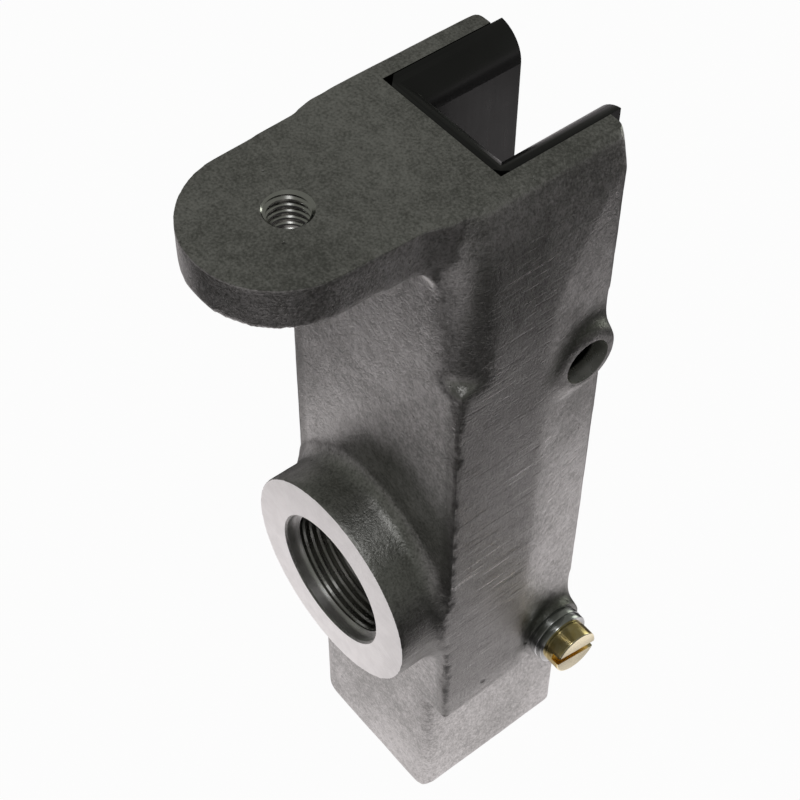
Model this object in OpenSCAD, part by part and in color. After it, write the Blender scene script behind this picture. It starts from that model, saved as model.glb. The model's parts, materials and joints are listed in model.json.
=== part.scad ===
// Sliding guide shoe for a lift car: a cast body with a stem boss and a lubricator
// tongue, and a U-shaped guide liner held in its pocket by one slotted screw.
// Millimetres. Z runs along the rail, the boss faces -Y and the rail enters from +Y.
// X = 0 is the middle of the rail and Y = 0 is the floor of the liner pocket.

/* [Rail and liner] */
// Thickness of the rail blade that runs in the liner
rail_t = 16; // [10:0.5:19]
// Running play on each side of the blade
rail_play = 0.6; // [0.3:0.1:1.2]
// Thickness of the liner's two side walls
liner_wall = 5.2; // [4.8:0.1:7]
// Thickness of the liner's web, behind the nose of the rail
liner_web = 5; // [4:0.1:7]
// How far the liner stands out past the leg tips
liner_out = 2.2; // [0.5:0.1:4]
// Radius of the rounded lead-in at both ends of the liner
lead_r = 6; // [3:0.5:9]
// Bevel on the liner's two outer corners
liner_bevel = 2; // [0.5:0.1:3]
// Play between the liner and the pocket on each face
liner_play = 0.1; // [0.05:0.05:0.3]

/* [Body] */
// Height of the shoe along the rail
shoe_h = 170; // [150:1:240]
// Depth of the pocket from its floor to the leg tips
pocket_d = 22; // [19:0.5:35]
// Metal between the pocket floor and the front face
front_t = 13.7; // [11:0.1:20]
// Metal beside the pocket in the middle of the shoe
side_t = 8.6; // [7:0.1:13]
// Metal beside the pocket at the leg tips
tip_t = 5.3; // [4:0.1:6.5]
// Metal beside the pocket at the top
head_t = 3.9; // [3:0.1:6]
// Metal beside the pocket at the foot
foot_t = 4; // [3:0.1:6]
// Distance behind the pocket floor where the sides begin to slope in
flank_y = 5.4; // [2:0.2:7]
// Height over which the cheeks curve in to the head
shoulder_h = 33; // [22:1:40]
// Height of the narrower foot
foot_h = 38; // [26:1:40]
// Radius of the fillets under the ledges above the foot
ledge_fillet = 4; // [1.5:0.1:5]
// Radius of the head's front corners
corner_r = 8; // [4:0.5:9]
// Radius of the foot's front corners
foot_corner_r = 3; // [1:0.5:6]
// Radius along the outer top edges of the head
head_edge_r = 2; // [1:0.1:3]
// Radius along the outer bottom edges of the foot
foot_edge_r = 5; // [1:0.5:7]
// Radius of the outer corners of the leg tips
tip_r = 1.8; // [1:0.1:3.5]

/* [Stem boss] */
// Diameter of the boss
boss_d = 43.6; // [38:0.1:44.4]
// How far the boss stands out from the front face
boss_l = 10.2; // [6:0.1:20]
// Height of the boss axis above the foot
boss_z = 71; // [66:0.5:90]
// Radius of the cast fillet around the boss
boss_fillet = 4; // [2:0.5:6]
// Nominal diameter of the stem thread
stem_thread = 27; // [20:1:30]
// Pitch of the stem thread
stem_pitch = 1.5; // [1:0.25:2]
// Depth of the stem bore from the boss face
stem_deep = 20; // [14:0.5:20]
// Diameter of the plain recess at the mouth of the bore
recess_d = 27.4; // [27.2:0.1:36]
// Depth of that recess
recess_deep = 2.5; // [0.5:0.1:4]

/* [Lubricator tongue] */
// Thickness of the tongue
tongue_t = 8; // [6:0.1:14]
// Distance of the tongue's tip from the pocket floor
tongue_reach = 45; // [40:0.5:70]
// Radius of the tongue's round end
tongue_r = 15.3; // [12:0.1:15.5]
// Width of the tongue where its root begins to flare
tongue_root = 31.8; // [31.2:0.1:34]
// Length of the flare between tongue and head
tongue_flare = 4; // [2:0.5:8]
// Distance of the lubricator hole from the pocket floor
lube_y = 28.3; // [26:0.1:40]
// Nominal diameter of the lubricator thread
lube_thread = 8; // [5:1:12]
// Pitch of the lubricator thread
lube_pitch = 1.25; // [0.8:0.05:1.5]
// Width and depth of the countersink at the mouth of that hole
lube_sink = 0.7; // [0.2:0.1:1.5]
// Radius of the fillet under the tongue
tongue_fillet = 7; // [3:0.5:9]

/* [Lugs and screw] */
// Distance of both lugs' middle from the leg tips
lug_back = 7.6; // [7:0.1:9]
// Distance of each lug from its own end of the shoe
lug_inset = 44; // [41:0.5:50]
// Diameter of a lug's face
lug_d = 13.6; // [13:0.1:15]
// Growth of a lug's radius for each millimetre down to the leg
lug_draft = 0.2; // [0:0.05:0.4]
// Diameter of the open hole in the upper lug
peg_hole_d = 9; // [7:0.1:10]
// Nominal diameter of the screw's thread
screw_d = 6; // [4:0.5:8]
// How far the screw's tip reaches into the liner's wall
screw_bite = 4.1; // [2:0.1:4.3]
// Diameter of the screw's head
screw_head_d = 10; // [9:0.1:13]
// Height of the screw's head
screw_head_h = 3.9; // [2.5:0.1:5]
// Width of the screwdriver slot
slot_w = 1.6; // [0.8:0.1:2.4]
// Depth of the screwdriver slot
slot_deep = 1.9; // [1:0.1:2.2]
// Angle at which the slot came to rest, from upright
slot_turn = 77; // [0:1:180]
// Diameter of the flat washer
washer_d = 12; // [11:0.1:13]
// Thickness of the flat washer
washer_t = 1.6; // [0.8:0.1:2]
// Diameter of the spring washer
spring_d = 11.8; // [11:0.1:13]
// Thickness of the spring washer
spring_t = 1.6; // [0.8:0.1:2]
// Width of the split in the spring washer
spring_gap = 1.2; // [0.6:0.1:2]
// Play of the screw in its tapped hole, on the diameter
thread_play = 0.1; // [0.05:0.05:0.3]
// Play of washers and liner hole around the screw, on the diameter
screw_play = 0.4; // [0.2:0.1:1]
// Depth left beyond the screw's tip in the liner hole
tip_play = 0.4; // [0.2:0.1:0.8]

/* [Hidden] */
$fn = 96;
// Overlap of joined solids and overshoot of cuts
eps = 0.5;
// A fillet meets its faces at this share of its radius, a little short of tangent
fillet_sink = 0.96;
// A rounded edge has its radius divided by this share, for the same reason
edge_sink = 0.98;
// How far an edge cutter reaches past the edge, as a multiple of its own depth
edge_reach = 1.6;
// Radius lost by a tapped hole for each millimetre of pitch
minor_share = 0.5413;

gap_w = rail_t + 2 * rail_play;
liner_w = gap_w + 2 * liner_wall;
pocket_w = liner_w + 2 * liner_play;
liner_end = pocket_d + liner_out;
block_x = pocket_w / 2 + side_t;
tip_x = pocket_w / 2 + tip_t;
head_x = pocket_w / 2 + head_t;
foot_x = pocket_w / 2 + foot_t;
block_top = shoe_h - shoulder_h;
head_crown = crown_radius(side_t - head_t, shoulder_h);
head_lean = asin(shoulder_h / head_crown);
boss_face = front_t + boss_l;
stem_r = stem_thread / 2 - minor_share * stem_pitch;
lube_r = lube_thread / 2 - minor_share * lube_pitch;
tongue_centre = tongue_reach - tongue_r;
tap_d = screw_d + thread_play;
screw_hole_d = screw_d + screw_play;
washer_top = block_x + washer_t;
screw_seat = washer_top + spring_t;
screw_tip = liner_w / 2 - screw_bite;
screw_l = screw_seat - screw_tip;
lug_y = pocket_d - lug_back;
lower_lug_z = lug_inset;
upper_lug_z = shoe_h - lug_inset;
screw_bevel = screw_d / 8;
head_bevel = screw_head_h / 12;

// Radius of an arc that starts upright and moves in by `rise` over the height `run`
function crown_radius(rise, run) = (rise * rise + run * run) / (2 * rise);

function unit(v) = v / norm(v);

// Rounding of the corner c between points p and q: two tangent points and the centre
function rounding(p, c, q, r) =
    let (u = unit(p - c), v = unit(q - c), half = acos(u * v) / 2)
    [c + u * r / tan(half), c + v * r / tan(half), c + unit(u + v) * r / sin(half)];

// Touching point of a line from p to the circle at c, on the side away from the Y axis
function touch(p, c, r) =
    let (d = norm(p - c), side = acos(r / d), along = atan2(p.y - c.y, p.x - c.x))
    c + r * [cos(along - side), sin(along - side)];

module both_sides() {
    children();
    mirror([1, 0, 0])
        children();
}

// Turns a shape drawn along Z to run along X, with its own X pointing down
module along_x() {
    rotate([0, 90, 0])
        children();
}

// Right half of the plan of the thick middle, with a sharp front corner
module block_half_plan() {
    tip = rounding([block_x, flank_y], [tip_x, pocket_d], [0, pocket_d], tip_r);
    polygon([[0, -front_t], [block_x, -front_t], [block_x, flank_y], tip[0], tip[1], [0, pocket_d]]);
    translate(tip[2])
        circle(tip_r);
}

module block_plan() {
    both_sides()
        block_half_plan();
}

module foot_half_plan() {
    polygon([
        [0, -front_t],
        [foot_x - foot_corner_r, -front_t],
        [foot_x, foot_corner_r - front_t],
        [foot_x, pocket_d - tip_r],
        [foot_x - tip_r, pocket_d],
        [0, pocket_d]
    ]);
    translate([foot_x - foot_corner_r, foot_corner_r - front_t])
        circle(foot_corner_r);
    translate([foot_x - tip_r, pocket_d - tip_r])
        circle(tip_r);
}

// Flat disc whose rim is one crowned cheek, rounded toward the front and the leg tip
module cheek_disc() {
    r = head_crown;
    translate([block_x - r, 0, block_top])
        rotate([90, 0, 0])
            rotate_extrude() {
                polygon([
                    [0, -pocket_d],
                    [r - tip_r, -pocket_d],
                    [r, tip_r - pocket_d],
                    [r, front_t - corner_r],
                    [r - corner_r, front_t],
                    [0, front_t]
                ]);
                translate([r - corner_r, front_t - corner_r])
                    circle(corner_r);
                translate([r - tip_r, tip_r - pocket_d])
                    circle(tip_r);
            }
}

// The head, trimmed by a crowned cheek on both sides
module crowned_head() {
    intersection() {
        translate([0, 0, block_top - eps])
            linear_extrude(shoulder_h + eps)
                block_plan();
        cheek_disc();
        mirror([1, 0, 0])
            cheek_disc();
    }
}

module column() {
    translate([0, 0, foot_h])
        linear_extrude(block_top - foot_h)
            block_plan();
    crowned_head();
    linear_extrude(foot_h + eps)
        both_sides()
            foot_half_plan();
    both_sides()
        ledge_bracket();
}

// Concave corner piece with its square corner at the origin
module fillet_profile(r) {
    sunk = r * fillet_sink;
    difference() {
        translate([-eps, -eps])
            square(sunk + eps);
        translate([sunk, sunk])
            circle(r);
    }
}

// Fillet between the foot's side and the ledge above it, behind the rounded corner
module ledge_bracket() {
    translate([foot_x, pocket_d - tip_r, foot_h])
        rotate([90, 0, 0])
            linear_extrude(pocket_d - tip_r + front_t - foot_corner_r)
                mirror([0, 1])
                    fillet_profile(ledge_fillet);
}

module tongue_plan() {
    root = [tongue_root / 2, -front_t - tongue_flare / 2];
    shoulder = [head_x - eps, tongue_flare / 2 - front_t];
    centre = [0, -tongue_centre];
    side = touch(root, centre, tongue_r);
    both_sides()
        polygon([centre, side, root, shoulder, [shoulder.x, -eps], [0, -eps]]);
    translate(centre)
        circle(tongue_r);
}

module tongue() {
    translate([0, 0, shoe_h - tongue_t])
        linear_extrude(tongue_t)
            tongue_plan();
    translate([tongue_root / 2, -front_t, shoe_h - tongue_t])
        rotate([0, -90, 0])
            linear_extrude(tongue_root)
                mirror([1, 0])
                    mirror([0, 1])
                        fillet_profile(tongue_fillet);
}

module boss() {
    intersection() {
        translate([0, 0, boss_z])
            rotate([90, 0, 0])
                rotate_extrude() {
                    square([boss_d / 2, boss_face]);
                    translate([boss_d / 2, front_t])
                        fillet_profile(boss_fillet);
                }
        translate([-block_x, -boss_face, foot_h])
            cube([2 * block_x, boss_face - eps, shoe_h]);
    }
}

// What rounds off the edge through c, between faces toward p and q, all along Y
module edge_cutter(p, c, q, r) {
    cut = rounding(p, c, q, r);
    centre = cut[2];
    translate([0, pocket_d + eps, 0])
        rotate([90, 0, 0])
            linear_extrude(pocket_d + tongue_reach)
                difference() {
                    polygon([for (k = [centre, cut[0], c, cut[1]]) centre + edge_reach * (k - centre)]);
                    translate(centre)
                        circle(r / edge_sink);
                }
}

module rounded_edges() {
    top = [head_x, shoe_h];
    both_sides() {
        edge_cutter(top + [sin(head_lean), -cos(head_lean)], top, [0, shoe_h], head_edge_r);
        edge_cutter([foot_x, foot_h], [foot_x, 0], [0, 0], foot_edge_r);
    }
}

// Cast lug whose face is flush with the body's side
module lug(z) {
    root_x = pocket_w / 2 + eps;
    face_r = lug_d / 2;
    intersection() {
        translate([root_x, lug_y, z])
            along_x()
                cylinder(h = block_x - root_x, r1 = face_r + lug_draft * (block_x - root_x), r2 = face_r);
        translate([0, 0, z - lug_inset / 2])
            cube([block_x + eps, pocket_d, lug_inset]);
    }
}

module stem_bore() {
    translate([0, -boss_face, boss_z])
        rotate([-90, 0, 0]) {
            cylinder(h = stem_deep, r = stem_r);
            translate([0, 0, -eps])
                cylinder(h = recess_deep + eps, d = recess_d);
        }
}

module lube_hole() {
    translate([0, -lube_y, shoe_h]) {
        translate([0, 0, -tongue_t - eps])
            cylinder(h = tongue_t + eps, r = lube_r);
        translate([0, 0, -lube_sink])
            cylinder(h = 2 * lube_sink, r1 = lube_r, r2 = lube_r + 2 * lube_sink);
    }
}

module cross_hole(z, d) {
    translate([0, lug_y, z])
        along_x()
            cylinder(h = block_x + eps, d = d);
}

module pocket() {
    translate([-pocket_w / 2, 0, -eps])
        cube([pocket_w, pocket_d + eps, shoe_h + 2 * eps]);
}

module shoe_body() {
    color("#8d8b88")
        difference() {
            union() {
                column();
                tongue();
                boss();
                lug(lower_lug_z);
                lug(upper_lug_z);
            }
            pocket();
            stem_bore();
            lube_hole();
            cross_hole(lower_lug_z, tap_d);
            cross_hole(upper_lug_z, peg_hole_d);
            rounded_edges();
        }
}

// Section of a liner wall, rounded at both ends on the side that meets the rail
module wall_profile(t) {
    difference() {
        square([t, shoe_h]);
        square([lead_r, lead_r]);
        translate([0, shoe_h - lead_r])
            square([lead_r, lead_r]);
    }
    intersection() {
        square([t, shoe_h]);
        union() {
            translate([lead_r, lead_r])
                circle(lead_r);
            translate([lead_r, shoe_h - lead_r])
                circle(lead_r);
            translate([lead_r, 0])
                square([t, shoe_h]);
        }
    }
}

module liner_side() {
    translate([gap_w / 2, liner_end, 0])
        rotate([90, 0, 0])
            linear_extrude(liner_end - liner_play)
                wall_profile(liner_wall);
}

module liner_back() {
    translate([-liner_w / 2, liner_play + liner_web, 0])
        rotate([90, 0, 90])
            linear_extrude(liner_w)
                mirror([1, 0])
                    wall_profile(liner_web);
}

// Bevelled outline of the liner seen along the rail
module liner_plan() {
    half = liner_w / 2;
    polygon([
        [liner_bevel - half, liner_play],
        [half - liner_bevel, liner_play],
        [half, liner_play + liner_bevel],
        [half, liner_end + eps],
        [-half, liner_end + eps],
        [-half, liner_play + liner_bevel]
    ]);
}

module guide_liner() {
    color("#1b1b1d")
        difference() {
            intersection() {
                union() {
                    liner_side();
                    mirror([1, 0, 0])
                        liner_side();
                    liner_back();
                }
                translate([0, 0, -eps])
                    linear_extrude(shoe_h + 2 * eps)
                        liner_plan();
            }
            translate([screw_tip - tip_play, lug_y, lower_lug_z])
                along_x()
                    cylinder(h = screw_l, d = screw_hole_d);
        }
}

// Cheese-head screw, drawn along X with its head outward
module retaining_screw() {
    tip_r = screw_d / 2;
    top_r = screw_head_d / 2;
    color("#c9a23f")
        translate([screw_tip, lug_y, lower_lug_z])
            along_x()
                difference() {
                    rotate_extrude()
                        polygon([
                            [0, 0],
                            [tip_r - screw_bevel, 0],
                            [tip_r, screw_bevel],
                            [tip_r, screw_l],
                            [top_r, screw_l],
                            [top_r, screw_l + screw_head_h - head_bevel],
                            [top_r - head_bevel, screw_l + screw_head_h],
                            [0, screw_l + screw_head_h]
                        ]);
                    rotate([0, 0, slot_turn])
                        translate([-screw_head_d, -slot_w / 2, screw_l + screw_head_h - slot_deep])
                            cube([2 * screw_head_d, slot_w, slot_deep + eps]);
                }
}

module ring(x, t, d) {
    translate([x, lug_y, lower_lug_z])
        along_x()
            difference() {
                cylinder(h = t, d = d);
                translate([0, 0, -eps])
                    cylinder(h = t + 2 * eps, d = screw_hole_d);
            }
}

module flat_washer() {
    color("#b9bcbf")
        ring(block_x, washer_t, washer_d);
}

module spring_washer() {
    color("#a6aaae")
        difference() {
            ring(washer_top, spring_t, spring_d);
            translate([washer_top - eps, lug_y - spring_gap / 2, lower_lug_z - spring_d])
                cube([spring_t + 2 * eps, spring_gap, spring_d]);
        }
}

shoe_body();
guide_liner();
retaining_screw();
flat_washer();
spring_washer();
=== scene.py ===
# %% [markdown]
# # A cast guide shoe, dressed for a studio picture
#
# A lift car is steered by shoes like this one: a cast body holds a plastic liner, and the liner slides
# along the blade of a steel rail. The solids that were packed as the frame give every size. This lesson
# rounds the casting the way a foundry does, cuts the machined faces and threads into it, and gives each
# metal its finish.

# %% Load the frame
import json
import math

import bmesh
import bpy
import numpy as np
from mathutils import Matrix, Vector, noise


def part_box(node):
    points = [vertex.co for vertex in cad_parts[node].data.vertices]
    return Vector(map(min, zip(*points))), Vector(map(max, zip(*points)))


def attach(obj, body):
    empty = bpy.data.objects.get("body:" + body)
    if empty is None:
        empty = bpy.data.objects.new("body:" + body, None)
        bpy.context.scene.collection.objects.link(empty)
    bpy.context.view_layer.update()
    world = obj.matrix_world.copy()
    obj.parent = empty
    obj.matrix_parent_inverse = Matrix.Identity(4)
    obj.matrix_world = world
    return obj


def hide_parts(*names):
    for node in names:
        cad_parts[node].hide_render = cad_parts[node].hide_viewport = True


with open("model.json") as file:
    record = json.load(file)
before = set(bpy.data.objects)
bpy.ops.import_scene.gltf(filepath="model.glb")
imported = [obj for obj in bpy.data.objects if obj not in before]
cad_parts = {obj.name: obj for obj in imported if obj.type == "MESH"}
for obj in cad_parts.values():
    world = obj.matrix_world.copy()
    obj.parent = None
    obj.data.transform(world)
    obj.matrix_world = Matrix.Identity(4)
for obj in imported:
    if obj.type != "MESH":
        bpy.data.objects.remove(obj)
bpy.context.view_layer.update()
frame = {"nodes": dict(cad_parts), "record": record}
MM = 0.001
mounts = {m["name"]: m for m in frame["record"]["mounts"]}

# %% [markdown]
# ## Sizes
#
# Numbers that the frame already knows are measured from it, so the dressed pieces cannot drift away from
# the solids. The rest repeat the named sizes of the solid model, in millimetres turned to metres.

# %% Sizes
body_low, body_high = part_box("shoe_body")
liner_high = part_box("guide_liner")[1]
screw_low, screw_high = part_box("retaining_screw")
TOP = body_high.z
SIDE = body_high.x
TIP = body_high.y
FRONT = -13.7 * MM
POCKET_HALF = liner_high.x + 0.1 * MM
BOSS_FACE = mounts["boss_face"]["pos_m"][1]
BOSS_Z = mounts["stem_thread"]["pos_m"][2]
BOSS_R = 21.8 * MM
RECESS_R = 13.7 * MM
RECESS_END = mounts["stem_thread"]["pos_m"][1]
STEM_R = mounts["stem_thread"]["dims"]["r_mm"] * MM
STEM_END = RECESS_END + mounts["stem_thread"]["dims"]["length_mm"] * MM
LUBE_Y = mounts["lubricator_thread"]["pos_m"][1]
LUBE_R = mounts["lubricator_thread"]["dims"]["r_mm"] * MM
LUBE_SINK = TOP - mounts["lubricator_thread"]["pos_m"][2]
LUG_Y = mounts["peg_hole"]["pos_m"][1]
LUG_R = 6.8 * MM
UPPER_LUG = mounts["peg_hole"]["pos_m"][2]
LOWER_LUG = TOP - UPPER_LUG
PEG_R = mounts["peg_hole"]["dims"]["r_mm"] * MM
TAP_R = 3.05 * MM
print("boss face at", BOSS_FACE, "bore ends at", round(STEM_END, 4))
print("lugs at", UPPER_LUG, round(LOWER_LUG, 4))

# %% [markdown]
# ## Camera
#
# The camera looks down on the right front corner. Its place, turn and focal length were worked out from
# the object's own straight edges and circles, so the model fills the square frame as the real one does.

# %% Camera
AZIMUTH, ELEVATION, ROLL = math.radians(50.785), math.radians(50.407), math.radians(0.508)
back = Vector((
    math.sin(AZIMUTH) * math.cos(ELEVATION),
    -math.cos(AZIMUTH) * math.cos(ELEVATION),
    math.sin(ELEVATION),
))
level = Vector((math.cos(AZIMUTH), math.sin(AZIMUTH), 0))
upright = back.cross(level)
right = level * math.cos(ROLL) + upright * math.sin(ROLL)
up = back.cross(right)
camera = bpy.data.objects.new("camera", bpy.data.cameras.new("camera"))
camera.matrix_world = Matrix((right, up, back)).transposed().to_4x4()
camera.location = (0.15339, -0.13246, 0.35060)
camera.data.sensor_width = 36
camera.data.lens = 80.65
camera.data.clip_start = 0.01
bpy.context.scene.collection.objects.link(camera)
bpy.context.scene.camera = camera
bpy.context.scene.view_settings.view_transform = "Standard"
print("camera looks along", [round(-v, 3) for v in back])

# %% [markdown]
# ## Shader maths in plain Python
#
# A finish is a small graph of nodes. Wiring it by hand hides the idea behind long lines of links, so a
# Wire wraps one socket and lets values be added and multiplied as numbers are. A Graph makes every other
# kind of node through one method, and a Finish is the graph of one material.

# %% Wire, Graph and Finish
class Wire:
    """One output socket that can stand in an expression."""

    def __init__(self, finish, socket):
        self.finish, self.socket = finish, socket

    def math(self, operation, *values):
        return self.finish.make("ShaderNodeMath", {"operation": operation}, dict(enumerate(values)))

    def __add__(self, other):
        return self.math("ADD", self, other)

    def __sub__(self, other):
        return self.math("SUBTRACT", self, other)

    def __rsub__(self, other):
        return self.math("SUBTRACT", other, self)

    def __mul__(self, other):
        return self.math("MULTIPLY", self, other)

    __radd__ = __add__
    __rmul__ = __mul__


class Graph:
    """A node tree, with one method that adds any node to it."""

    def __init__(self, tree):
        self.tree = tree

    def make(self, kind, settings=None, sockets=None, out=0):
        """Adds a node: settings first, then the values or links of its sockets."""
        node = self.tree.nodes.new(kind)
        for key, value in (settings or {}).items():
            setattr(node, key, value)
        for key, value in (sockets or {}).items():
            if isinstance(value, Wire):
                self.tree.links.new(value.socket, node.inputs[key])
            else:
                node.inputs[key].default_value = value
        return None if out is None else Wire(self, node.outputs[out])

    def step(self, value, low, high, start=0.0, end=1.0):
        """A smooth ramp from start at low to end at high."""
        sockets = {"Value": value, "From Min": low, "From Max": high, "To Min": start, "To Max": end}
        return self.make("ShaderNodeMapRange", {"interpolation_type": "SMOOTHSTEP"}, sockets)

    def gap(self, place, centre):
        """The distance from a place to a fixed centre."""
        return self.make("ShaderNodeVectorMath", {"operation": "DISTANCE"}, {0: place, 1: centre}, "Value")

    def blend(self, factor, first, second):
        """A mix of two colours, each a wire or a plain triple."""
        first = first if isinstance(first, Wire) else (*first, 1)
        second = second if isinstance(second, Wire) else (*second, 1)
        return self.make("ShaderNodeMix", {"data_type": "RGBA"}, {0: factor, 6: first, 7: second}, 2)


class Finish(Graph):
    """A material built from a Principled shader and the nodes that feed it."""

    def __init__(self, name, **constants):
        self.material = bpy.data.materials.new(name)
        self.material.use_nodes = True
        super().__init__(self.material.node_tree)
        self.shader = self.tree.nodes["Principled BSDF"]
        self.place = self.make("ShaderNodeTexCoord", out="Object")
        for socket, value in constants.items():
            self.shader.inputs[socket.replace("_", " ")].default_value = value

    def feed(self, **wires):
        for socket, wire in wires.items():
            self.tree.links.new(wire.socket, self.shader.inputs[socket.replace("_", " ")])
        return self.material

    def axis(self, name):
        return self.make("ShaderNodeSeparateXYZ", None, {0: self.place}, name)

    def noise(self, size, detail=3.0, rough=0.55, stretch=(1, 1, 1), turn=(0, 0, 0)):
        """Noise whose features are about `size` metres wide, drawn out by `stretch`."""
        spot = self.make("ShaderNodeMapping", None, {0: self.place, "Rotation": turn, "Scale": stretch})
        sockets = {"Vector": spot, "Scale": 1 / size, "Detail": detail, "Roughness": rough}
        return self.make("ShaderNodeTexNoise", None, sockets)

    def rings(self, first, second, pitch):
        """A wave that runs outward in rings from where both coordinates are zero."""
        square = first * first + second * second
        phase = square.math("SQRT", square) * (2 * math.pi / pitch)
        return phase.math("SINE", phase)

    def bump(self, height, depth, strength=1.0, under=None):
        sockets = {"Height": height, "Distance": depth, "Strength": strength}
        if under is not None:
            sockets["Normal"] = under
        return self.make("ShaderNodeBump", None, sockets)


# %% [markdown]
# ## Raw casting
#
# A sand or die casting has no sharp edges: metal pulls back at corners and flows together in hollows.
# Bevelling each edge by hand would miss the places where three fillets meet. Here the solid is filled
# back up to what left the mould, with the pocket and holes plugged, and is remeshed in small voxels.
# Averaging each point with its neighbours then rounds every edge and hollow together.

# %% Mesh helpers
def new_object(name, mesh):
    piece = bpy.data.objects.new(name, mesh)
    bpy.context.scene.collection.objects.link(piece)
    return piece


def bake(piece):
    """Replaces a piece's mesh by the result of its modifiers."""
    shaped = piece.evaluated_get(bpy.context.evaluated_depsgraph_get())
    mesh = bpy.data.meshes.new_from_object(shaped)
    piece.modifiers.clear()
    old, piece.data = piece.data, mesh
    bpy.data.meshes.remove(old)
    return piece


def box_mesh(low, high):
    low, high = Vector(low), Vector(high)
    shape = bmesh.new()
    stretch = Matrix.Diagonal((*(high - low), 1))
    bmesh.ops.create_cube(shape, size=1, matrix=Matrix.Translation((low + high) / 2) @ stretch)
    return shape


AXIS_TURN = {
    "X": Matrix.Rotation(math.radians(90), 4, "Y"),
    "Y": Matrix.Rotation(math.radians(-90), 4, "X"),
    "Z": Matrix.Identity(4),
}


def rod_mesh(axis, centre, start, end, r1, r2=None, steps=96):
    """A rod or cone along one axis; centre's own value on that axis is ignored."""
    middle = Vector(centre)
    middle["XYZ".index(axis)] = (start + end) / 2
    shape = bmesh.new()
    turn = Matrix.Translation(middle) @ AXIS_TURN[axis]
    bmesh.ops.create_cone(shape, cap_ends=True, segments=steps, radius1=r1, radius2=r1 if r2 is None else r2,
                          depth=end - start, matrix=turn)
    return shape


def to_mesh(name, *shapes):
    """Joins bmesh shapes into one mesh and frees them."""
    whole = bmesh.new()
    for shape in shapes:
        part = bpy.data.meshes.new(name)
        shape.to_mesh(part)
        whole.from_mesh(part)
        shape.free()
        bpy.data.meshes.remove(part)
    mesh = bpy.data.meshes.new(name)
    whole.to_mesh(mesh)
    whole.free()
    return mesh


def merged_copy(node):
    """A node's mesh with its loose triangles joined."""
    shape = bmesh.new()
    shape.from_mesh(frame["nodes"][node].data)
    bmesh.ops.remove_doubles(shape, verts=shape.verts, dist=0.002 * MM)
    return shape


# %% Fill the solid back up and remesh it
VOXEL = 0.6 * MM
SPARE = 0.6 * MM
TOP_SPARE = 0.6 * MM


def top_slab():
    """The flat top of the solid as a thin slab that stands a little proud, to be milled off later."""
    slab = merged_copy("shoe_body")
    lower = [f for f in slab.faces if f.normal.z < 0.99 or f.calc_center_median().z < TOP - 0.01 * MM]
    bmesh.ops.delete(slab, geom=lower, context="FACES")
    raised = bmesh.ops.extrude_face_region(slab, geom=slab.faces[:])
    lifted = [v for v in raised["geom"] if isinstance(v, bmesh.types.BMVert)]
    bmesh.ops.translate(slab, verts=lifted, vec=(0, 0, TOP_SPARE))
    bmesh.ops.translate(slab, verts=[v for v in slab.verts if v not in set(lifted)], vec=(0, 0, -0.3 * MM))
    bmesh.ops.recalc_face_normals(slab, faces=slab.faces)
    return slab


boss_middle, lube_middle = (0, 0, BOSS_Z), (0, LUBE_Y, 0)
upper_middle, lower_middle = (0, LUG_Y, UPPER_LUG), (0, LUG_Y, LOWER_LUG)
LUBE_PLUG_R, LUBE_PLUG_DEPTH = 5 * MM, 8 * MM
plugs = [
    merged_copy("shoe_body"),
    top_slab(),
    box_mesh((-POCKET_HALF - MM, -MM, 0), (POCKET_HALF + MM, TIP, TOP + TOP_SPARE)),
    rod_mesh("Y", boss_middle, BOSS_FACE - SPARE, FRONT, BOSS_R),
    rod_mesh("Y", boss_middle, FRONT - MM, MM, RECESS_R),
    rod_mesh("Z", lube_middle, TOP - LUBE_PLUG_DEPTH, TOP + TOP_SPARE, LUBE_PLUG_R),
    rod_mesh("X", upper_middle, POCKET_HALF, SIDE, LUG_R),
    rod_mesh("X", lower_middle, POCKET_HALF, SIDE + SPARE, LUG_R),
]
casting = new_object("casting", to_mesh("casting", *plugs))
remesh = casting.modifiers.new("remesh", "REMESH")
remesh.mode = "VOXEL"
remesh.voxel_size = VOXEL
bake(casting)
print("raw casting:", len(casting.data.vertices), "points")


# %% Round the edges and add the mould's unevenness
def read_points(mesh):
    points = np.empty(len(mesh.vertices) * 3, np.float32)
    mesh.vertices.foreach_get("co", points)
    return points.reshape(-1, 3).astype(float)


def relax(points, edges, rounds, share):
    """Moves each point part of the way to the middle of its neighbours, several times."""
    first, second = edges.T
    ends = np.r_[first, second]
    count = np.bincount(ends, minlength=len(points))
    for _ in range(rounds):
        across = np.r_[points[second], points[first]]
        total = [np.bincount(ends, across[:, k], len(points)) for k in range(3)]
        middle = np.array(total).T / count[:, None]
        points = points + share[:, None] * (middle - points)
    return points


def between(values, span):
    """Which values lie inside a span."""
    return (values > span[0]) & (values < span[1])


# where the plain side begins to slope back, the heights of the ledge, the front corners and the shoulders,
# and how far round a lug its root reaches
STRIP_Y, STRIP_SLOPE = 5.4 * MM, 0.199
LEDGE = (35 * MM, 40 * MM)
CORNER = (39 * MM, 135 * MM)
SHOULDER = (130 * MM, 144 * MM)
LUG_ZONE = 12 * MM
# how near a front corner's edge counts as the corner, and as its torn edge
CORNER_REACH, TEAR_REACH = 2.5 * MM, 1.2 * MM
points = read_points(casting.data)
edges = np.empty(len(casting.data.edges) * 2, np.int32)
casting.data.edges.foreach_get("vertices", edges)
edges = edges.reshape(-1, 2)
x, y, z = points.T
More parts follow.
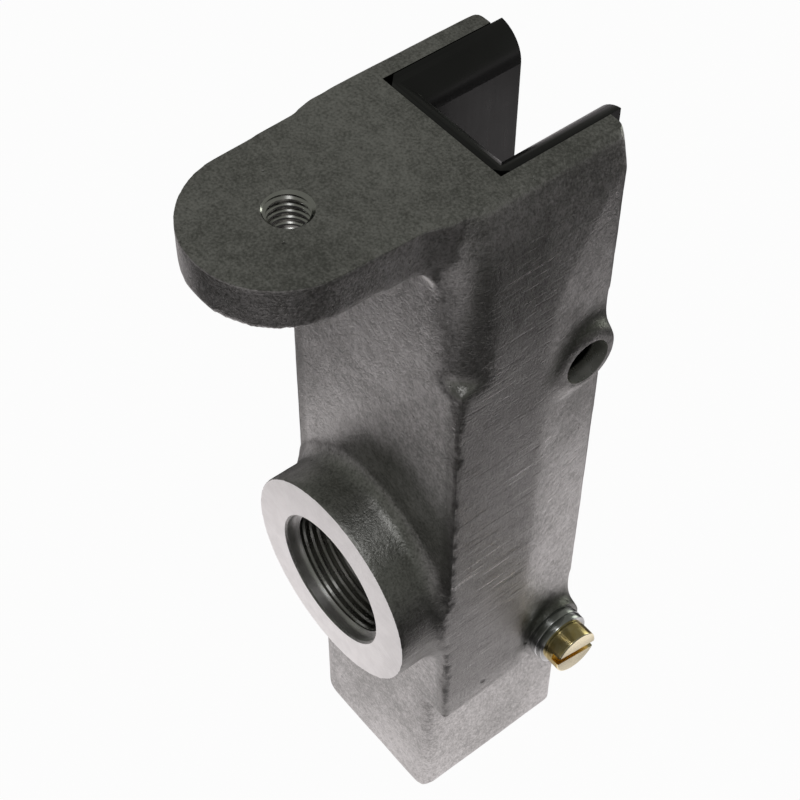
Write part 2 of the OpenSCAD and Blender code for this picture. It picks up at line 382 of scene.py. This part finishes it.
# the fillet under the ledge stands proud of the plain side's sloping rear strip, so it is trimmed to it
strip = SIDE - STRIP_SLOPE * np.maximum(y - STRIP_Y, 0)
proud = (x < -strip) & between(z, LEDGE)
points[proud, 0] = -strip[proud]
corner_gap = np.hypot(np.abs(x) - SIDE, y - FRONT)
on_corner = (corner_gap < CORNER_REACH) & between(z, CORNER)
share = np.where(on_corner, 0.15, 0.5)
points = relax(points, edges, 3, share)
x, y, z = points.T
at_shoulder = (np.abs(x) > 15 * MM) & (y < -7 * MM) & between(z, SHOULDER)
points = relax(points, edges, 12, np.where(at_shoulder, 0.5, 0.0))
x, y, z = points.T
lug_gap = np.minimum(*[np.hypot(y - LUG_Y, z - height) for height in (UPPER_LUG, LOWER_LUG)])
lug_root = (x > POCKET_HALF + MM) & between(lug_gap, (LUG_R - 1.5 * MM, LUG_R + 6 * MM))
lug_root &= (x < SIDE - MM) | (z > UPPER_LUG - LUG_ZONE)
points = relax(points, edges, 16, np.where(lug_root, 0.5, 0.0))
casting.data.vertices.foreach_set("co", points.astype(np.float32).ravel())
casting.data.update()
normals = np.empty(len(points) * 3, np.float32)
casting.data.vertex_normals.foreach_get("vector", normals)
normals = normals.reshape(-1, 3)
swell = [noise.noise(Vector(p) * 130) * 0.05 + noise.noise(Vector(p) * 420) * 0.03 for p in points]
swell = np.array(swell) * MM
tear = np.array([noise.noise(Vector(p) * 330) + 0.6 * noise.noise(Vector(p) * 900) for p in points])
torn = on_corner & (x > 0) & (corner_gap < TEAR_REACH)
swell += np.where(torn, np.clip(tear, -0.9, 0.4) * 0.3, 0) * MM
points = points + normals * swell[:, None]
low, high = np.array(body_low), np.array(body_high)
points = np.clip(points, low, high + np.array([SPARE, 0, TOP_SPARE]))
above = z > LOWER_LUG + LUG_ZONE
points[above, 0] = np.minimum(points[above, 0], SIDE)
casting.data.vertices.foreach_set("co", points.astype(np.float32).ravel())
casting.data.update()
print("rounded casting spans", np.round(points.min(0), 4), np.round(points.max(0), 4))

# %% [markdown]
# ## Threads that follow a helix
#
# The stem bore and the tongue's hole are tapped. A thread is one profile that follows a helix, which is a
# rule and not a shape to draw, so Geometry Nodes make it: a spiral, a trapezoid swept along it, and named
# inputs for the sizes. The same tree gives the tap's cutting ridge, the screw's own thread and the coil
# of the spring washer.


# %% Coil tree
def coil_tree():
    tree = bpy.data.node_groups.new("coil", "GeometryNodeTree")
    tree.is_modifier = True
    sockets = {}
    inputs = dict.fromkeys(("Radius", "Height", "Turns", "Root Width", "Crest Width", "Depth"), "Float")
    inputs |= {"Steps": "Int", "Material": "Material"}
    for name, kind in inputs.items():
        socket = tree.interface.new_socket(name, in_out="INPUT", socket_type="NodeSocket" + kind)
        sockets[name] = socket.identifier
    tree.interface.new_socket("Geometry", in_out="OUTPUT", socket_type="NodeSocketGeometry")
    nodes = tree.nodes
    given, result = nodes.new("NodeGroupInput"), nodes.new("NodeGroupOutput")
    spiral = nodes.new("GeometryNodeCurveSpiral")
    spiral.inputs["Reverse"].default_value = True
    level_normal = nodes.new("GeometryNodeSetCurveNormal")
    level_normal.mode = "Z_UP"
    profile = nodes.new("GeometryNodeCurvePrimitiveQuadrilateral")
    profile.mode = "TRAPEZOID"
    profile.inputs["Offset"].default_value = 0
    turned = nodes.new("GeometryNodeTransform")
    turned.inputs["Rotation"].default_value = (0, 0, math.radians(90))
    sweep = nodes.new("GeometryNodeCurveToMesh")
    sweep.inputs["Fill Caps"].default_value = True
    realize = nodes.new("GeometryNodeRealizeInstances")
    paint = nodes.new("GeometryNodeSetMaterial")
    for source, target in (
        (given.outputs["Steps"], spiral.inputs["Resolution"]),
        (given.outputs["Turns"], spiral.inputs["Rotations"]),
        (given.outputs["Radius"], spiral.inputs["Start Radius"]),
        (given.outputs["Radius"], spiral.inputs["End Radius"]),
        (given.outputs["Height"], spiral.inputs["Height"]),
        (given.outputs["Depth"], profile.inputs["Height"]),
        (given.outputs["Root Width"], profile.inputs["Top Width"]),
        (given.outputs["Crest Width"], profile.inputs["Bottom Width"]),
        (given.outputs["Material"], paint.inputs["Material"]),
        (spiral.outputs[0], level_normal.inputs["Curve"]),
        (level_normal.outputs[0], sweep.inputs["Curve"]),
        (profile.outputs[0], turned.inputs["Geometry"]),
        (turned.outputs[0], sweep.inputs["Profile Curve"]),
        (sweep.outputs[0], realize.inputs["Geometry"]),
        (realize.outputs[0], paint.inputs["Geometry"]),
        (paint.outputs[0], result.inputs[0]),
    ):
        tree.links.new(source, target)
    return tree, sockets


COIL, COIL_SOCKETS = coil_tree()
print("coil inputs:", list(COIL_SOCKETS))


def coil(name, turn, **sizes):
    """A swept coil as a plain mesh object, turned and moved into place."""
    piece = new_object(name, bpy.data.meshes.new(name))
    modifier = piece.modifiers.new("coil", "NODES")
    modifier.node_group = COIL
    for key, value in sizes.items():
        modifier[COIL_SOCKETS[key.replace("_", " ")]] = value
    bake(piece)
    shape = bmesh.new()
    shape.from_mesh(piece.data)
    bmesh.ops.remove_doubles(shape, verts=shape.verts, dist=0.0005 * MM)
    bmesh.ops.recalc_face_normals(shape, faces=shape.faces)
    bmesh.ops.transform(shape, matrix=turn, verts=shape.verts)
    shape.to_mesh(piece.data)
    shape.free()
    return piece


def thread_ridge(name, turn, minor, pitch, length, steps, height=0.5, root=0.84, sunk=0.15 * MM):
    """The ridge of a metric thread, with its root sunk a little into the core."""
    depth = height * pitch
    turns = length / pitch
    return coil(name, turn, Radius=minor + (depth - sunk) / 2, Height=length, Turns=turns, Steps=steps,
                Root_Width=root * pitch, Crest_Width=0.12 * pitch, Depth=depth + sunk)


# %% [markdown]
# ## Machining
#
# Only now is the casting machined, as the real one was: the pocket is milled, the boss is faced, the
# lower lug is spot-faced, and holes are drilled and tapped. Each cut is a boolean with a cutter of the
# exact size, so these faces are flat and their edges crisp against the soft casting.

# %% Cuts
def combine(piece, other, operation="DIFFERENCE"):
    """Cuts another object out of a piece, or joins it on, and deletes that object."""
    cut = piece.modifiers.new("cut", "BOOLEAN")
    cut.operation = operation
    cut.solver = "MANIFOLD"
    cut.object = other
    bake(piece)
    bpy.data.objects.remove(other)


# how far a cutter reaches past the metal, the break of the bore's mouth, half the spot face, the depth that
# a drill goes through the tongue, and a place in front of the whole shoe
OVER, MOUTH, SPOT, DRILL, FORE = 3 * MM, 0.35 * MM, 9 * MM, 12 * MM, -50 * MM
PITCH_STEM, PITCH_LUBE = 1.5 * MM, 1.25 * MM
cutters = [
    box_mesh((-SIDE - OVER, FORE, TOP), (SIDE + OVER, TIP + OVER, TOP + OVER)),
    box_mesh((-POCKET_HALF, 0, -OVER), (POCKET_HALF, TIP + OVER, TOP + OVER)),
    box_mesh(
        (-SIDE - MM, BOSS_FACE - OVER, BOSS_Z - BOSS_R - MM),
        (SIDE + MM, BOSS_FACE, BOSS_Z + BOSS_R + MM),
    ),
    box_mesh((SIDE, LUG_Y - SPOT, LOWER_LUG - SPOT), (SIDE + OVER, TIP + OVER, LOWER_LUG + SPOT)),
    rod_mesh("Y", boss_middle, BOSS_FACE - OVER, STEM_END, STEM_R),
    rod_mesh("Y", boss_middle, BOSS_FACE - OVER, RECESS_END, RECESS_R),
    rod_mesh("Y", boss_middle, BOSS_FACE - MOUTH, BOSS_FACE + MOUTH, RECESS_R + 2 * MOUTH, RECESS_R),
    rod_mesh("Z", lube_middle, TOP - DRILL, TOP + OVER, LUBE_R),
    rod_mesh("Z", lube_middle, TOP - LUBE_SINK, TOP + LUBE_SINK, LUBE_R, LUBE_R + 2 * LUBE_SINK),
    rod_mesh("X", upper_middle, POCKET_HALF - MM, SIDE + OVER, PEG_R),
    rod_mesh("X", lower_middle, POCKET_HALF - MM, SIDE + OVER, TAP_R),
]
for number, cutter in enumerate(cutters):
    combine(casting, new_object(f"cutter_{number}", to_mesh(f"cutter_{number}", cutter)))
stem_turn = Matrix.Translation((0, RECESS_END - PITCH_STEM, BOSS_Z)) @ AXIS_TURN["Y"]
lube_turn = Matrix.Translation((0, LUBE_Y, TOP - 10 * MM))
stem_length = STEM_END - RECESS_END - 0.5 * MM
# a shallow ridge for the stem, so that its thread shows as fine lines
stem_tap = thread_ridge("stem_tap", stem_turn, STEM_R, PITCH_STEM, stem_length, 96, 0.1, 0.94, 0.05 * MM)
combine(casting, stem_tap)
lube_tap = thread_ridge("lube_tap", lube_turn, LUBE_R, PITCH_LUBE, 11 * MM, 64)
combine(casting, lube_tap)
print("machined casting:", len(casting.data.polygons), "faces")

# %% [markdown]
# ## Cast and machined metal
#
# The casting is a dull grey alloy with a sandy grain, darker pits and belt marks where flash was dressed
# off. The boss face is freshly turned and much paler. Rather than paint both in one graph, each gets its
# own material and the faces are sorted by where the cutters went.

# %% Cast finish
BLOW_HOLE = (22.5 * MM, -4.2 * MM, 43.3 * MM)


def cast_finish():
    f = Finish("cast_metal", Metallic=0.95)
    x, y, z = f.axis("X"), f.axis("Y"), f.axis("Z")
    milled = f.step(z, TOP - 0.3 * MM, TOP - 0.05 * MM)
    broad = f.noise(28 * MM, 2)
    grain = f.noise(0.5 * MM, 3, 0.7)
    peel = f.noise(1.8 * MM, 3, 0.5)
    pits = f.step(f.noise(1.5 * MM, 2, 0.5), 0.72, 0.8)
    tone = broad * 0.3 + peel * 0.2 + grain * 0.5
    colour = f.blend(f.step(tone, 0.36, 0.64), (0.26, 0.258, 0.25), (0.68, 0.67, 0.665))
    # painted shade darkens the cast boss where it stands out from the front
    painted_boss_shade = f.step(y, FRONT + 1 * MM, FRONT - 3 * MM) * f.step(z, 112 * MM, 104 * MM)
    colour = f.blend(painted_boss_shade * 0.35, colour, (0.19, 0.2, 0.18))
    side = f.step(x.math("ABSOLUTE", x), 19 * MM, 20.5 * MM) * (1 - milled)
    # painted shade: the sides are darker toward the front, above the ledge
    painted_side_shade = side * f.step(y, 10 * MM, 2 * MM) * f.step(z, 34 * MM, 48 * MM)
    colour = f.blend(painted_side_shade * 0.6, colour, (0.22, 0.218, 0.21))
    # painted reflection of the bright sheet: the sides of the foot are lighter
    colour = f.blend(side * f.step(z, 40 * MM, 26 * MM) * 0.3, colour, (0.84, 0.83, 0.83))
    # belt marks across the sides, and the cutter's fine lines across the top
    patch = f.step(f.noise(13 * MM, 2), 0.42, 0.6)
    belt = f.noise(0.55 * MM, 2, 0.6, (1, 0.035, 1), (math.radians(4), 0, 0))
    feed = f.noise(0.4 * MM, 2, 0.6, (1, 0.03, 1))
    scratch = f.step(belt, 0.57, 0.70) * side * patch + f.step(feed, 0.58, 0.74) * milled * 0.3
    groove = f.step(belt, 0.44, 0.32) * side
    colour = f.blend(scratch * 0.5, colour, (0.80, 0.79, 0.78))
    colour = f.blend(groove * 0.28, colour, (0.16, 0.155, 0.15))
    # painted shade above the roots of the lugs, and one blow-hole in the side
    painted_lug_shade = []
    for height in (UPPER_LUG, LOWER_LUG):
        reach = f.gap(f.place, (SIDE - 2 * MM, LUG_Y, height))
        band = f.step(reach, 5.6 * MM, 7.2 * MM) * f.step(reach, 12 * MM, 8 * MM)
        painted_lug_shade.append(band * f.step(z, height - 4 * MM, height + 3 * MM))
    colour = f.blend((painted_lug_shade[0] + painted_lug_shade[1]) * 0.75, colour, (0.085, 0.09, 0.075))
    hole = f.gap(f.place, BLOW_HOLE)
    pits = pits + f.step(hole + (peel - 0.5) * (1.6 * MM), 1.0 * MM, 0.5 * MM)
    colour = f.blend(pits * 0.7, colour, (0.06, 0.058, 0.056))
    rough = 0.23 + grain * 0.2 - scratch * 0.08
    sand = f.bump(grain * (1.0 - milled * 0.5) + peel * (0.5 - milled * 0.45), 0.25 * MM, 0.5)
    normal = f.bump(1 - pits - groove * 0.3, 0.2 * MM, 0.7, sand)
    return f.feed(Base_Color=colour, Roughness=rough, Normal=normal)


def turned_finish():
    f = Finish("turned_metal", Metallic=0.95)
    ring = f.rings(f.axis("X"), f.axis("Z") - BOSS_Z, 0.32 * MM)
    cloud = f.noise(4 * MM, 3)
    colour = f.blend(f.step(cloud, 0.3, 0.7), (0.80, 0.795, 0.79), (0.93, 0.925, 0.92))
    rough = 0.3 + cloud * 0.12 + ring * 0.03
    return f.feed(Base_Color=colour, Roughness=rough, Normal=f.bump(ring, 0.01 * MM, 0.5))


def tapped_finish():
    f = Finish("tapped_metal", Metallic=1.0)
    cloud = f.noise(2.5 * MM, 3)
    in_tongue = f.step(f.axis("Z"), TOP - 14 * MM, TOP - 12 * MM)
    # painted shade and painted light: the same tapped metal is darker in the deep stem bore and lighter in
    # the tongue's hole
    colour = f.blend(cloud, (0.36, 0.36, 0.345), (0.54, 0.535, 0.52))
    colour = f.blend(in_tongue, colour, (0.72, 0.72, 0.70))
    return f.feed(Base_Color=colour, Roughness=0.24 + cloud * 0.08 - in_tongue * 0.12)


def drilled_finish():
    f = Finish("drilled_metal", Metallic=0.6)
    cloud = f.noise(2.5 * MM, 3)
    # painted light and shade: drilled walls are pale near the side and near black more than about 3.5 mm in,
    # deep in the holes and in the pocket
    painted_hole_shade = f.step(f.axis("X"), SIDE - 3 * MM, SIDE - 3.6 * MM)
    colour = f.blend(cloud, (0.60, 0.60, 0.57), (0.84, 0.83, 0.80))
    return f.feed(Base_Color=f.blend(painted_hole_shade, colour, (0.02, 0.02, 0.018)), Roughness=0.2 + cloud * 0.14)


cast_metal, turned_metal = cast_finish(), turned_finish()
tapped_metal, drilled_metal = tapped_finish(), drilled_finish()
print("casting finishes:", [m.name for m in (cast_metal, turned_metal, tapped_metal, drilled_metal)])

# %% Sort the faces
def face_table(mesh):
    centres = np.empty(len(mesh.polygons) * 3, np.float32)
    mesh.polygons.foreach_get("center", centres)
    facing = np.empty(len(mesh.polygons) * 3, np.float32)
    mesh.polygons.foreach_get("normal", facing)
    return centres.reshape(-1, 3).T, facing.reshape(-1, 3).T


# a face is on a plane when its middle is this near, and level with it when its normal points this much along
NEAR, LEVEL = 0.01 * MM, 0.99
(cx, cy, cz), (nx, ny, nz) = face_table(casting.data)
bore_gap = np.hypot(cx, cz - BOSS_Z)
lube_gap = np.hypot(cx, cy - LUBE_Y)
lug_gap = [np.hypot(cy - LUG_Y, cz - height) for height in (UPPER_LUG, LOWER_LUG)]
on_boss = (cy < BOSS_FACE + NEAR) & (ny < -LEVEL) & (bore_gap < BOSS_R + 0.3 * MM)
in_stem = (bore_gap < RECESS_R + 0.02 * MM) & between(cy, (BOSS_FACE + NEAR, STEM_END + 0.1 * MM))
in_recess = in_stem & (cy < RECESS_END + 0.1 * MM)
on_thread = in_stem & (cy > RECESS_END + 0.1 * MM)
in_lube = (lube_gap < LUBE_R + 1.6 * LUBE_SINK) & between(cz, (TOP - 9 * MM, TOP - 0.02 * MM))
in_hole = (lug_gap[0] < PEG_R + 0.05 * MM) | (lug_gap[1] < TAP_R + 0.05 * MM)
in_lugs = in_hole & between(cx, (POCKET_HALF - 0.1 * MM, SIDE - NEAR))
in_pocket = (np.abs(cx) < POCKET_HALF + NEAR) & (cy > -NEAR)
CAST, TURNED, TAPPED, DRILLED = range(4)
kind = np.full(len(cx), CAST, np.int32)
kind[on_boss] = TURNED
kind[in_stem | in_lube & (nz < LEVEL)] = TAPPED
kind[in_recess] = TURNED
kind[in_lugs | in_pocket] = DRILLED
casting.data.materials.clear()
for material in (cast_metal, turned_metal, tapped_metal, drilled_metal):
    casting.data.materials.append(material)
casting.data.polygons.foreach_set("material_index", kind)
on_top = (cz > TOP - NEAR) & (nz > LEVEL)
on_lug = (cx > SIDE - NEAR) & (nx > LEVEL) & (lug_gap[1] < LUG_R + MM)
flat_pocket = in_pocket & (np.minimum(*lug_gap) > PEG_R + 0.1 * MM)
casting.data.shade_smooth()
casting.data.set_sharp_from_angle(angle=math.radians(38))
casting.data.polygons.foreach_set("use_smooth", ~(on_top | on_lug | on_thread | flat_pocket | on_boss))
casting.data.update()
print("faces that are cast, turned, tapped and drilled:", np.bincount(kind, minlength=4).tolist())

# %% [markdown]
# ## Liner
#
# The liner is a moulded U of black plastic, and its rounded lead-ins are already true in the solid.
# Moulded plastic never has a knife edge, so a small bevel is all that its copy needs.

# %% Liner piece
def softened(name, node, width, segments=2):
    """A copy of a solid's mesh with its sharp edges bevelled."""
    shape = merged_copy(node)
    bmesh.ops.dissolve_limit(shape, angle_limit=math.radians(0.5), verts=shape.verts, edges=shape.edges)
    mesh = bpy.data.meshes.new(name)
    shape.to_mesh(mesh)
    shape.free()
    piece = new_object(name, mesh)
    bevel = piece.modifiers.new("bevel", "BEVEL")
    bevel.width = width
    bevel.segments = segments
    bevel.limit_method = "ANGLE"
    bevel.angle_limit = math.radians(40)
    bevel.use_clamp_overlap = True
    bake(piece)
    piece.data.shade_smooth()
    piece.data.set_sharp_from_angle(angle=math.radians(30))
    # faces that lie square to an axis are shaded flat
    for face in piece.data.polygons:
        face.use_smooth = max(abs(part) for part in face.normal) < 0.9999
    return piece


def liner_finish():
    f = Finish("liner_plastic", IOR=1.5)
    cloud = f.noise(9 * MM, 3)
    drawn = f.noise(0.5 * MM, 2, 0.5, (1, 1, 0.03))
    colour = f.blend(cloud, (0.010, 0.010, 0.011), (0.022, 0.022, 0.023))
    rough = 0.22 + cloud * 0.08 + drawn * 0.06
    return f.feed(Base_Color=colour, Roughness=rough, Normal=f.bump(drawn, 0.02 * MM, 0.2))


liner = softened("liner", "guide_liner", 0.35 * MM)
liner.data.materials.clear()
liner.data.materials.append(liner_finish())
print("liner:", len(liner.data.polygons), "faces")

# %% [markdown]
# ## Screw and washers
#
# A brass cheese-head screw pins the liner, over a split spring washer and a flat washer. The screw is
# turned from bar, so it is one profile revolved about its axis, with the slot milled and the thread
# coiled on after.

# %% Screw
AXLE = Matrix.Translation((0, LUG_Y, LOWER_LUG)) @ AXIS_TURN["X"]


def turned_piece(name, profile, steps=72):
    """Revolves a profile of (radius, place along the axis) and lays it along X through the lower lug."""
    shape = bmesh.new()
    ring = [shape.verts.new((r, 0, h)) for r, h in profile]
    loop = [shape.edges.new((a, b)) for a, b in zip(ring, ring[1:])]
    bmesh.ops.spin(shape, geom=ring + loop, axis=(0, 0, 1), cent=(0, 0, 0), angle=2 * math.pi,
                   steps=steps, use_merge=True)
    bmesh.ops.remove_doubles(shape, verts=shape.verts, dist=0.001 * MM)
    bmesh.ops.recalc_face_normals(shape, faces=shape.faces)
    bmesh.ops.transform(shape, matrix=AXLE, verts=shape.verts)
    mesh = bpy.data.meshes.new(name)
    shape.to_mesh(mesh)
    shape.free()
    return new_object(name, mesh)


def rounded(corners, radius, steps=4):
    """A profile whose inner corners are rounded."""
    points = [corners[0]]
    for before, corner, after in zip(corners, corners[1:], corners[2:]):
        c, a, b = Vector(corner), Vector(before), Vector(after)
        reach = min(radius, (a - c).length / 2, (b - c).length / 2)
        p, q = c + (a - c).normalized() * reach, c + (b - c).normalized() * reach
        for k in range(steps + 1):
            t = k / steps
            points.append(tuple((1 - t) ** 2 * p + 2 * t * (1 - t) * c + t * t * q))
    points.append(corners[-1])
    return points


WASHER_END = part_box("flat_washer")[1].x
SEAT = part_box("spring_washer")[1].x
HEAD = screw_high.x
CORE_R, SHANK_R, HEAD_R = 2.42 * MM, 3.0 * MM, 5.0 * MM
screw_profile = rounded([
    (0, screw_low.x), (CORE_R - 0.5 * MM, screw_low.x), (CORE_R, screw_low.x + 0.6 * MM),
    (CORE_R, SEAT - 1.2 * MM), (SHANK_R, SEAT - 0.8 * MM), (SHANK_R, SEAT),
    (HEAD_R, SEAT), (HEAD_R, HEAD), (0, HEAD),
], 0.35 * MM)
screw = turned_piece("brass_screw", screw_profile)
SLOT_WIDTH, SLOT_DEPTH, SLOT_TURN = 1.6 * MM, 1.9 * MM, math.radians(77)
SLOT_REACH = 7 * MM
slot = box_mesh(
    (-SLOT_REACH, -SLOT_WIDTH / 2, HEAD - SLOT_DEPTH),
    (SLOT_REACH, SLOT_WIDTH / 2, HEAD + OVER),
)
bmesh.ops.transform(slot, matrix=AXLE @ Matrix.Rotation(SLOT_TURN, 4, "Z"), verts=slot.verts)
combine(screw, new_object("slot", to_mesh("slot", slot)))
screw_turn = Matrix.Translation((screw_low.x + MM, 0, 0)) @ AXLE
screw_thread = thread_ridge("screw_thread", screw_turn, CORE_R, MM, SEAT - screw_low.x - 2.4 * MM, 48)
combine(screw, screw_thread, "UNION")
screw.data.shade_smooth()
screw.data.set_sharp_from_angle(angle=math.radians(40))
print("screw:", len(screw.data.polygons), "faces, head at", round(HEAD, 5))

# %% Washers
HOLE_R, FLAT_MIDDLE, FLAT_R = 3.2 * MM, 4.6 * MM, 6 * MM
flat_profile = rounded([
    (FLAT_MIDDLE, SIDE), (HOLE_R, SIDE), (HOLE_R, WASHER_END),
    (FLAT_R, WASHER_END), (FLAT_R, SIDE), (FLAT_MIDDLE, SIDE),
], 0.25 * MM)
flat_washer = turned_piece("washer_flat", flat_profile)
SPRING_R = 5.9 * MM
ring_middle = (HOLE_R + SPRING_R) / 2
split_turn = Matrix.Rotation(math.radians(8), 4, "Z")
ring_turn = Matrix.Translation(((WASHER_END + SEAT) / 2, 0, 0)) @ AXLE @ split_turn
spring_washer = coil("washer_spring", ring_turn, Radius=ring_middle, Height=0.0, Turns=0.955, Steps=84,
                     Root_Width=SEAT - WASHER_END, Crest_Width=SEAT - WASHER_END, Depth=SPRING_R - HOLE_R)
bevel = spring_washer.modifiers.new("bevel", "BEVEL")
bevel.width = 0.22 * MM
bevel.segments = 2
bevel.angle_limit = math.radians(40)
bake(spring_washer)
for piece in (flat_washer, spring_washer):
    piece.data.shade_smooth()
    piece.data.set_sharp_from_angle(angle=math.radians(40))
print("washers:", len(flat_washer.data.polygons), len(spring_washer.data.polygons), "faces")

# %% [markdown]
# ## Brass and zinc
#
# Turned brass shows fine rings on the head's face and round its side. The washers are zinc plated, which
# is a cool, slightly cloudy silver.


# %% Fastener finishes
def brass_finish():
    f = Finish("brass", Metallic=1.0)
    ring = f.rings(f.axis("Y") - LUG_Y, f.axis("Z") - LOWER_LUG, 0.3 * MM)
    cloud = f.noise(2 * MM, 4)
    colour = f.blend(f.step(cloud, 0.3, 0.7), (0.80, 0.62, 0.24), (0.93, 0.78, 0.42))
    # painted highlight: the head's face is paler
    colour = f.blend(f.step(f.axis("X"), HEAD - 0.3 * MM, HEAD - 0.1 * MM) * 0.8, colour, (0.99, 0.93, 0.70))
    return f.feed(Base_Color=colour, Roughness=0.13 + cloud * 0.16, Normal=f.bump(ring, 0.006 * MM, 0.5))


def zinc_finish():
    f = Finish("zinc", Metallic=1.0)
    cloud = f.noise(1.5 * MM, 4)
    colour = f.blend(cloud, (0.44, 0.455, 0.455), (0.70, 0.715, 0.71))
    return f.feed(Base_Color=colour, Roughness=0.12 + cloud * 0.2)


zinc = zinc_finish()
for piece, material in ((screw, brass_finish()), (flat_washer, zinc), (spring_washer, zinc)):
    piece.data.materials.clear()
    piece.data.materials.append(material)
print("finishes:", [m.name for m in bpy.data.materials])

# %% [markdown]
# ## Floor and light
#
# Bare metal shows what it mirrors, and under a dim sky that is mostly the white sheet it stands on. The
# sheet is lit in soft pools that only mirrored rays find, and two weak lamps add the small highlights. To
# the camera the sheet is plain white, and it still takes a faint shadow.

# %% Floor
# each pool: x, y, the radii where it begins and ends to fade, and its strength inside and outside them
NEAR_POOL = (0.014, 0.003, 0.025, 0.06, 0.92, 0.03)
FAR_GLOW = (
    (0, 0, 0.22, 0.38, 0.0, 0.35),
    (0.55, 0.2, 0.36, 0.5, 0.0, 1.0),
    (-0.3, -0.4, 0.2, 0.4, 0.3, 1.0),
)
POOLS = (
    (-0.16, -0.035, 0.03, 0.08, 0.6),
    (0.12, 0.142, 0.016, 0.04, 1.0),
    (-0.045, -0.047, 0.03, 0.076, 0.95),
    (0.066, 0.048, 0.012, 0.03, 1.0),
    (0.036, 0.074, 0.018, 0.04, 0.9),
    (0.066, 0.104, 0.02, 0.045, 0.4),
    (0.03, 0.145, 0.015, 0.045, 0.55),
    (-0.2, 0.2, 0.08, 0.16, 0.8),
    (0.23, -0.24, 0.06, 0.13, 0.4),
    (-0.3, -0.25, 0.06, 0.13, 0.5),
)
WHITE_SHARE = 0.97


def sheet_material():
    """White paper: plain to the camera, lit in pools to mirrored rays, and else diffuse."""
    material = bpy.data.materials.new("stage_floor")
    material.use_nodes = True
    material.cycles.emission_sampling = "NONE"
    g = Graph(material.node_tree)
    g.tree.nodes.clear()
    spot = g.make("ShaderNodeTexCoord", out="Object")

    def pool(x, y, near, far, strength, rest=0.0):
        return g.step(g.gap(spot, (x, y, 0)), near, far, strength, rest)

    glimmer = pool(*NEAR_POOL)
    far_glow = pool(*FAR_GLOW[0]) * pool(*FAR_GLOW[1]) * pool(*FAR_GLOW[2])
    for other in (far_glow, *(pool(*size) for size in POOLS)):
        glimmer = glimmer.math("MAXIMUM", glimmer, other)
    seen = g.make("ShaderNodeLightPath", out="Is Camera Ray")
    mirrored = g.make("ShaderNodeLightPath", out="Is Glossy Ray")
    light = g.blend(glimmer, (0, 0, 0), (1.0, 0.95, 0.955))
    tint = g.blend(seen, light, (1, 1, 1))
    glow = g.make("ShaderNodeEmission", None, {"Strength": 1.0, "Color": tint})
    paper = g.make("ShaderNodeBsdfDiffuse", None, {"Color": (0.86, 0.86, 0.86, 1)})
    white = seen * WHITE_SHARE
    share = white.math("MAXIMUM", white, mirrored)
    both = g.make("ShaderNodeMixShader", None, {0: share, 1: paper, 2: glow})
    g.make("ShaderNodeOutputMaterial", None, {0: both}, None)
    return material


floor_shape = bmesh.new()
below = Matrix.Translation((0, 0, -0.2 * MM))
bmesh.ops.create_grid(floor_shape, x_segments=1, y_segments=1, size=2.5, matrix=below)
floor = new_object("floor", to_mesh("floor", floor_shape))
floor.data.materials.append(sheet_material())
print("floor lit in", len(POOLS) + 1, "pools and a far glow")

# %% Lights and world
AIM = Vector((0, 0, 0.09))


def soft_box(name, place, size, power, tint=(0.95, 1.0, 0.86)):
    lamp = bpy.data.lights.new(name, "AREA")
    lamp.shape, lamp.size, lamp.energy, lamp.color = "SQUARE", size, power, tint
    lamp_object = bpy.data.objects.new(name, lamp)
    lamp_object.location = place
    lamp_object.rotation_euler = (AIM - Vector(place)).to_track_quat("-Z", "Y").to_euler()
    bpy.context.scene.collection.objects.link(lamp_object)


soft_box("rear", (0, 0.6, 0.1), 0.3, 0.4)
soft_box("flash", (0.11, -0.09, 0.47), 0.05, 0.11, (1, 1, 1))
world = bpy.data.worlds.new("studio")
bpy.context.scene.world = world
world.use_nodes = True
g = Graph(world.node_tree)
g.tree.nodes.clear()
seen = g.make("ShaderNodeLightPath", out="Is Camera Ray")
tint = g.blend(seen, (0.137, 0.14, 0.124), (0.975, 0.975, 0.975))
sky = g.make("ShaderNodeBackground", None, {"Color": tint, "Strength": 1.0})
g.make("ShaderNodeOutputWorld", None, {0: sky}, None)

# %% [markdown]
# ## Attach the pieces
#
# Each piece is attached to the body it rides on, and the solid it stands for is hidden.

# %% Attach the pieces
for piece, node, slot_name in (
    (casting, "shoe_body", "body"),
    (liner, "guide_liner", "liner"),
    (screw, "retaining_screw", "screw"),
    (flat_washer, "flat_washer", "washer"),
    (spring_washer, "spring_washer", "washer"),
):
    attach(piece, "root")
    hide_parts(node)
    print(piece.name, "stands for", node, "with", len(piece.data.polygons), "faces")
